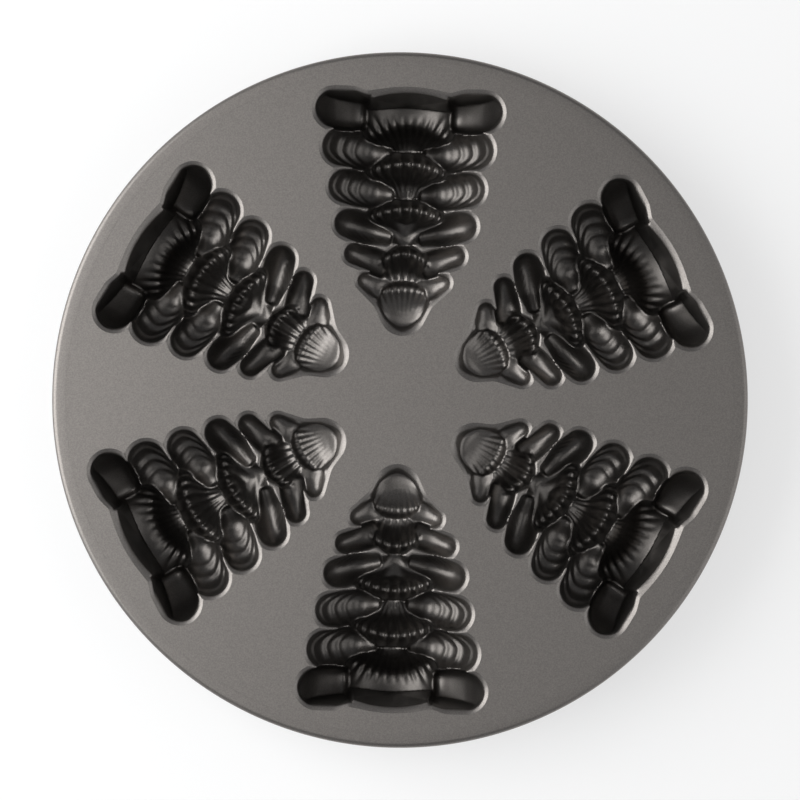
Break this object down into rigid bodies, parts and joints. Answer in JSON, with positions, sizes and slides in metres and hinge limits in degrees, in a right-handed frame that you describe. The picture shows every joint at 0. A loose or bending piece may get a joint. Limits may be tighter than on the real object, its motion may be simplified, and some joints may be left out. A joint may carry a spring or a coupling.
{
  "type": "tree cake pan",
  "caption": "Round cast cake pan with half-tree cavities set like spokes, each with a fluted centre, ribbed boughs and an upright base wall.",
  "frame": {"origin": "on the plane that the pan stands on, under the centre of the round deck", "axes": "+Z up, out of the cavities' mouths; +Y from the centre along the middle of tree_cup_1; +X to the right when the pan is seen from above with +Y up"},
  "size_m": [0.318, 0.318, 0.038],
  "materials": {
    "nonstick_coating": "grey non-stick coating on cast aluminium, satin with a fine metallic speckle"
  },
  "bodies": {
    "root": {"deck_plate": "nonstick_coating", "edge_rim": "nonstick_coating", "tree_cup_1": "nonstick_coating", "tree_cup_2": "nonstick_coating", "tree_cup_3": "nonstick_coating", "tree_cup_4": "nonstick_coating", "tree_cup_5": "nonstick_coating", "tree_cup_6": "nonstick_coating"}
  },
  "joints": []
}
